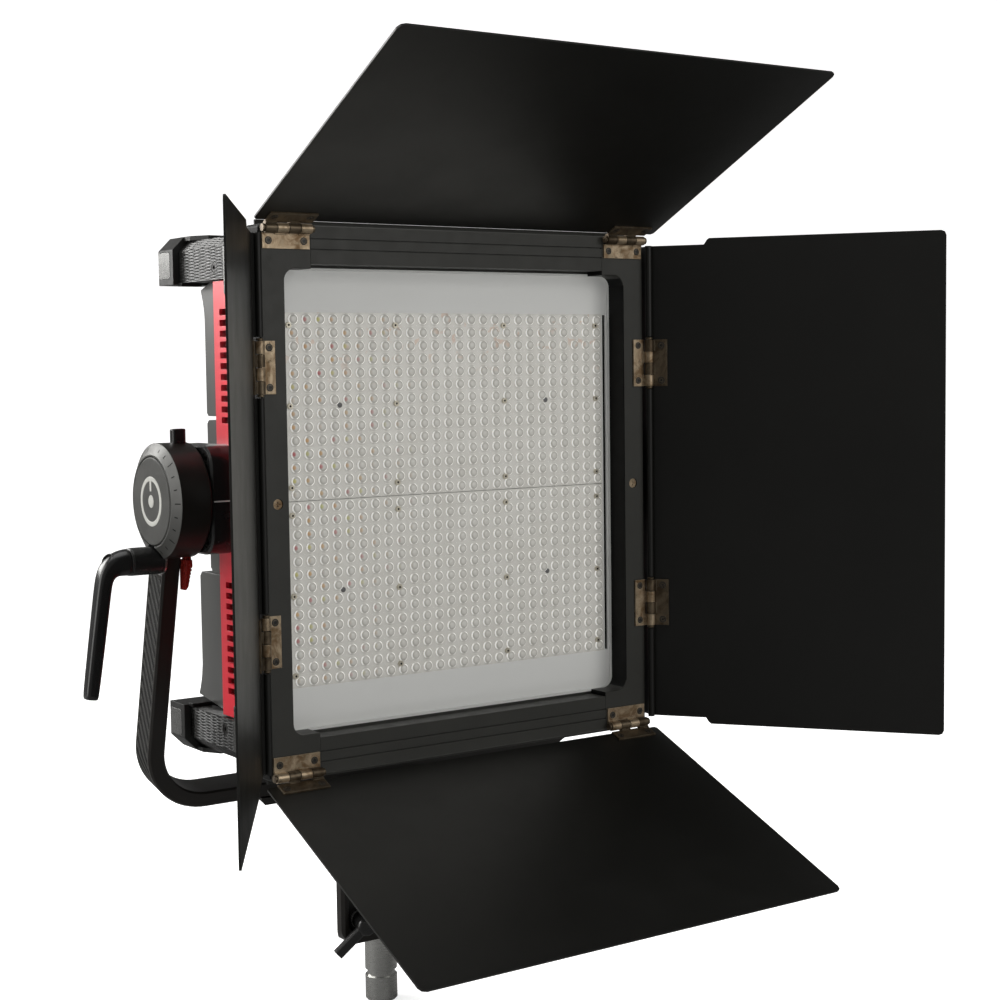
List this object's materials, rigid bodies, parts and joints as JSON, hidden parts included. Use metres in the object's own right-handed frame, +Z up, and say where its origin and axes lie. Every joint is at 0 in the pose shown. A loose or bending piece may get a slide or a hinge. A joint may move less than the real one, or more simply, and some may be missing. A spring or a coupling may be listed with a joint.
{
  "type": "led panel light",
  "caption": "Square soft LED panel light with a four-leaf barndoor frame, rear electronics housings, carry handles and a tilting yoke on a stand receiver.",
  "frame": {"origin": "centre of the stand stud at the shoulder where it leaves the receiver", "axes": "+Z up along the stud, -Y is the way the light shines, +X to the right seen from behind the front face looking along +Y"},
  "size_m": [0.6601, 0.4048, 0.7819],
  "materials": {
    "frame_black": "satin powder coat",
    "leaf_black": "matt black paint",
    "brass_aged": "aged, blotchy patina",
    "screw_black": "black oxide",
    "liner_white": "satin",
    "lens_clear": "clear moulded lenses",
    "board_white": "white solder mask",
    "aluminium_plain": "milled",
    "panel_red": "satin anodised",
    "housing_grey": "fine texture",
    "plastic_black": "fine texture",
    "handle_black": "black anodised, knurled",
    "cap_black": "moulded",
    "inlay_grey": "satin",
    "joint_black": "semi gloss",
    "dial_grey": "satin",
    "yoke_black": "satin",
    "grip_texture": "diagonal weave",
    "steel_plain": "turned",
    "latch_red": "gloss",
    "pcb_green": "solder mask",
    "display_dark": "gloss",
    "bush_bronze": "plain"
  },
  "bodies": {
    "yoke": {"yoke_frame": "yoke_black", "yoke_grip_inlays": "grip_texture", "stand_receiver": "yoke_black", "stand_stud": "steel_plain", "receiver_screws": "screw_black", "lever_washers": "steel_plain", "tilt_dial_rings": "dial_grey", "tilt_caps": "dial_grey", "tilt_bushes": "bush_bronze"},
    "head": {"frame_side_members": "frame_black", "frame_rails": "frame_black", "frame_locking_pins": "brass_aged", "hinge_frame_plates": "brass_aged", "hinge_frame_screws": "screw_black", "hinge_pins": "brass_aged", "front_housing": "frame_black", "reflector_liner": "liner_white", "lens_plates": "lens_clear", "led_boards": "board_white", "board_fixings": "steel_plain", "heat_sink": "aluminium_plain", "side_panels": "panel_red", "chassis_plates": "housing_grey", "rear_cover_upper": "housing_grey", "rear_cover_middle": "housing_grey", "rear_cover_lower": "housing_grey", "housing_screws": "screw_black", "display_window": "display_dark", "control_boards": "pcb_green", "power_supply_board": "pcb_green", "switch_body": "plastic_black", "rear_sockets": "plastic_black", "fan_frames": "plastic_black", "handle_side_arms": "handle_black", "handle_brackets": "inlay_grey", "handle_caps": "cap_black", "handle_cap_inlays": "inlay_grey", "handle_grips": "handle_black", "flange_blocks": "joint_black", "tilt_axles": "steel_plain"},
    "top_leaf": {"top_leaf": "leaf_black", "top_leaf_hinge_plates": "brass_aged"},
    "bottom_leaf": {"bottom_leaf": "leaf_black", "bottom_leaf_hinge_plates": "brass_aged"},
    "left_leaf": {"left_leaf": "leaf_black", "left_leaf_hinge_plates": "brass_aged"},
    "right_leaf": {"right_leaf": "leaf_black", "right_leaf_hinge_plates": "brass_aged"},
    "tilt_lever": {"tilt_lock_lever": "joint_black"},
    "receiver_lever": {"receiver_lock_lever": "joint_black"},
    "stop_plunger": {"angle_stop_plunger": "joint_black"},
    "release_latch": {"yoke_release_latch": "latch_red"},
    "knob_1": {"encoder_knob_1": "plastic_black"},
    "knob_2": {"encoder_knob_2": "plastic_black"},
    "button_1": {"menu_button_1": "plastic_black"},
    "button_2": {"menu_button_2": "plastic_black"},
    "button_3": {"menu_button_3": "plastic_black"},
    "rocker": {"switch_rocker": "plastic_black"},
    "fan_left": {"fan_rotor_left": "plastic_black"},
    "fan_right": {"fan_rotor_right": "plastic_black"}
  },
  "joints": [
    {"name": "head_tilt", "type": "hinge", "parent": "yoke", "child": "head", "pos_m": [0, -0.056, 0.401], "axis": [1, 0, 0], "range_deg": [-90, 28]},
    {"name": "right_leaf_hinge", "type": "hinge", "parent": "head", "child": "right_leaf", "pos_m": [0.187, -0.155, 0.4], "axis": [0, 0, 1], "range_deg": [-126, 27.5]},
    {"name": "left_leaf_hinge", "type": "hinge", "parent": "head", "child": "left_leaf", "pos_m": [-0.187, -0.155, 0.4], "axis": [0, 0, -1], "range_deg": [-114.5, 34]},
    {"name": "top_leaf_hinge", "type": "hinge", "parent": "head", "child": "top_leaf", "pos_m": [0, -0.155, 0.608], "axis": [1, 0, 0], "range_deg": [-61.7, 111.3]},
    {"name": "bottom_leaf_hinge", "type": "hinge", "parent": "head", "child": "bottom_leaf", "pos_m": [0, -0.155, 0.192], "axis": [-1, 0, 0], "range_deg": [-65, 112]},
    {"name": "tilt_lever_turn", "type": "hinge", "parent": "yoke", "child": "tilt_lever", "pos_m": [-0.24, -0.052, 0.3545], "axis": [1, 0, 0], "range_deg": [-90, 90]},
    {"name": "receiver_lever_turn", "type": "hinge", "parent": "yoke", "child": "receiver_lever", "pos_m": [-0.02023, 0.014, 0.021], "axis": [-0.3011, -0.9536, 0], "range_deg": [-90, 90]},
    {"name": "stop_plunger_push", "type": "slide", "parent": "yoke", "child": "stop_plunger", "axis": [0, 0, -1], "range_m": [0, 0.002]},
    {"name": "release_latch_pull", "type": "slide", "parent": "yoke", "child": "release_latch", "axis": [0, 0, -1], "range_m": [0, 0.003]},
    {"name": "knob_1_turn", "type": "hinge", "parent": "head", "child": "knob_1", "pos_m": [0.018, -0.027, 0.404], "axis": [0, 1, 0], "continuous": true},
    {"name": "knob_2_turn", "type": "hinge", "parent": "head", "child": "knob_2", "pos_m": [0.078, -0.027, 0.404], "axis": [0, 1, 0], "continuous": true},
    {"name": "button_1_press", "type": "slide", "parent": "head", "child": "button_1", "axis": [0, -1, 0], "range_m": [0, 0.0012]},
    {"name": "button_2_press", "type": "slide", "parent": "head", "child": "button_2", "axis": [0, -1, 0], "range_m": [0, 0.0012]},
    {"name": "button_3_press", "type": "slide", "parent": "head", "child": "button_3", "axis": [0, -1, 0], "range_m": [0, 0.0012]},
    {"name": "rocker_turn", "type": "hinge", "parent": "head", "child": "rocker", "pos_m": [0.11, -0.0086, 0.305], "axis": [1, 0, 0], "range_deg": [0, 9]},
    {"name": "fan_left_spin", "type": "hinge", "parent": "head", "child": "fan_left", "pos_m": [-0.084, -0.0505, 0.515], "axis": [0, 1, 0], "continuous": true},
    {"name": "fan_right_spin", "type": "hinge", "parent": "head", "child": "fan_right", "pos_m": [0.084, -0.0505, 0.515], "axis": [0, 1, 0], "continuous": true}
  ]
}
